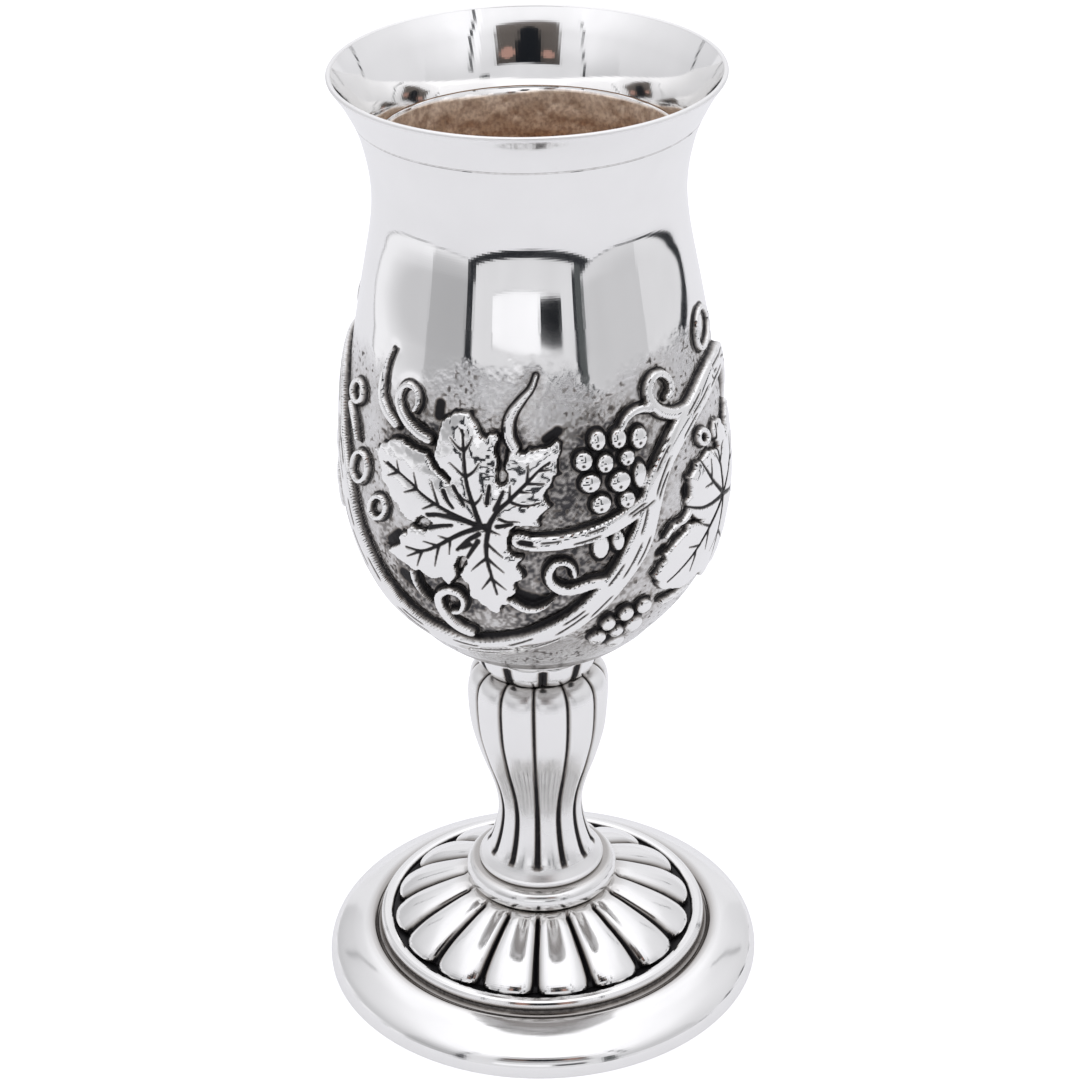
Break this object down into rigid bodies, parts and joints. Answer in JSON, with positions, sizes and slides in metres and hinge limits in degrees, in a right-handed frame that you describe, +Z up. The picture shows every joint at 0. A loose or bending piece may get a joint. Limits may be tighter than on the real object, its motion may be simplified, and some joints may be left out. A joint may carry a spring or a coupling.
{
  "type": "kiddush cup",
  "caption": "Stemmed silver wine cup: hollow bowl with flared lip and raised grapevine, fluted collar and baluster stem, plain ring, gadrooned domed foot.",
  "frame": {"origin": "middle of the foot's underside, on the surface the cup stands on", "axes": "+Z up along the cup's axis, -Y towards the side with the large leaf"},
  "size_m": [0.0644, 0.0644, 0.14],
  "materials": {
    "bowl_silver": "polished silver, blackened in the recesses of the relief",
    "collar_silver": "polished silver, darkened between the flutes",
    "stem_silver": "polished silver, blackened grooves",
    "ring_silver": "polished silver",
    "foot_silver": "polished silver, blackened grooves between the gadroons"
  },
  "bodies": {
    "root": {"bowl": "bowl_silver", "collar": "collar_silver", "stem": "stem_silver", "knop_ring": "ring_silver", "foot": "foot_silver"}
  },
  "joints": []
}
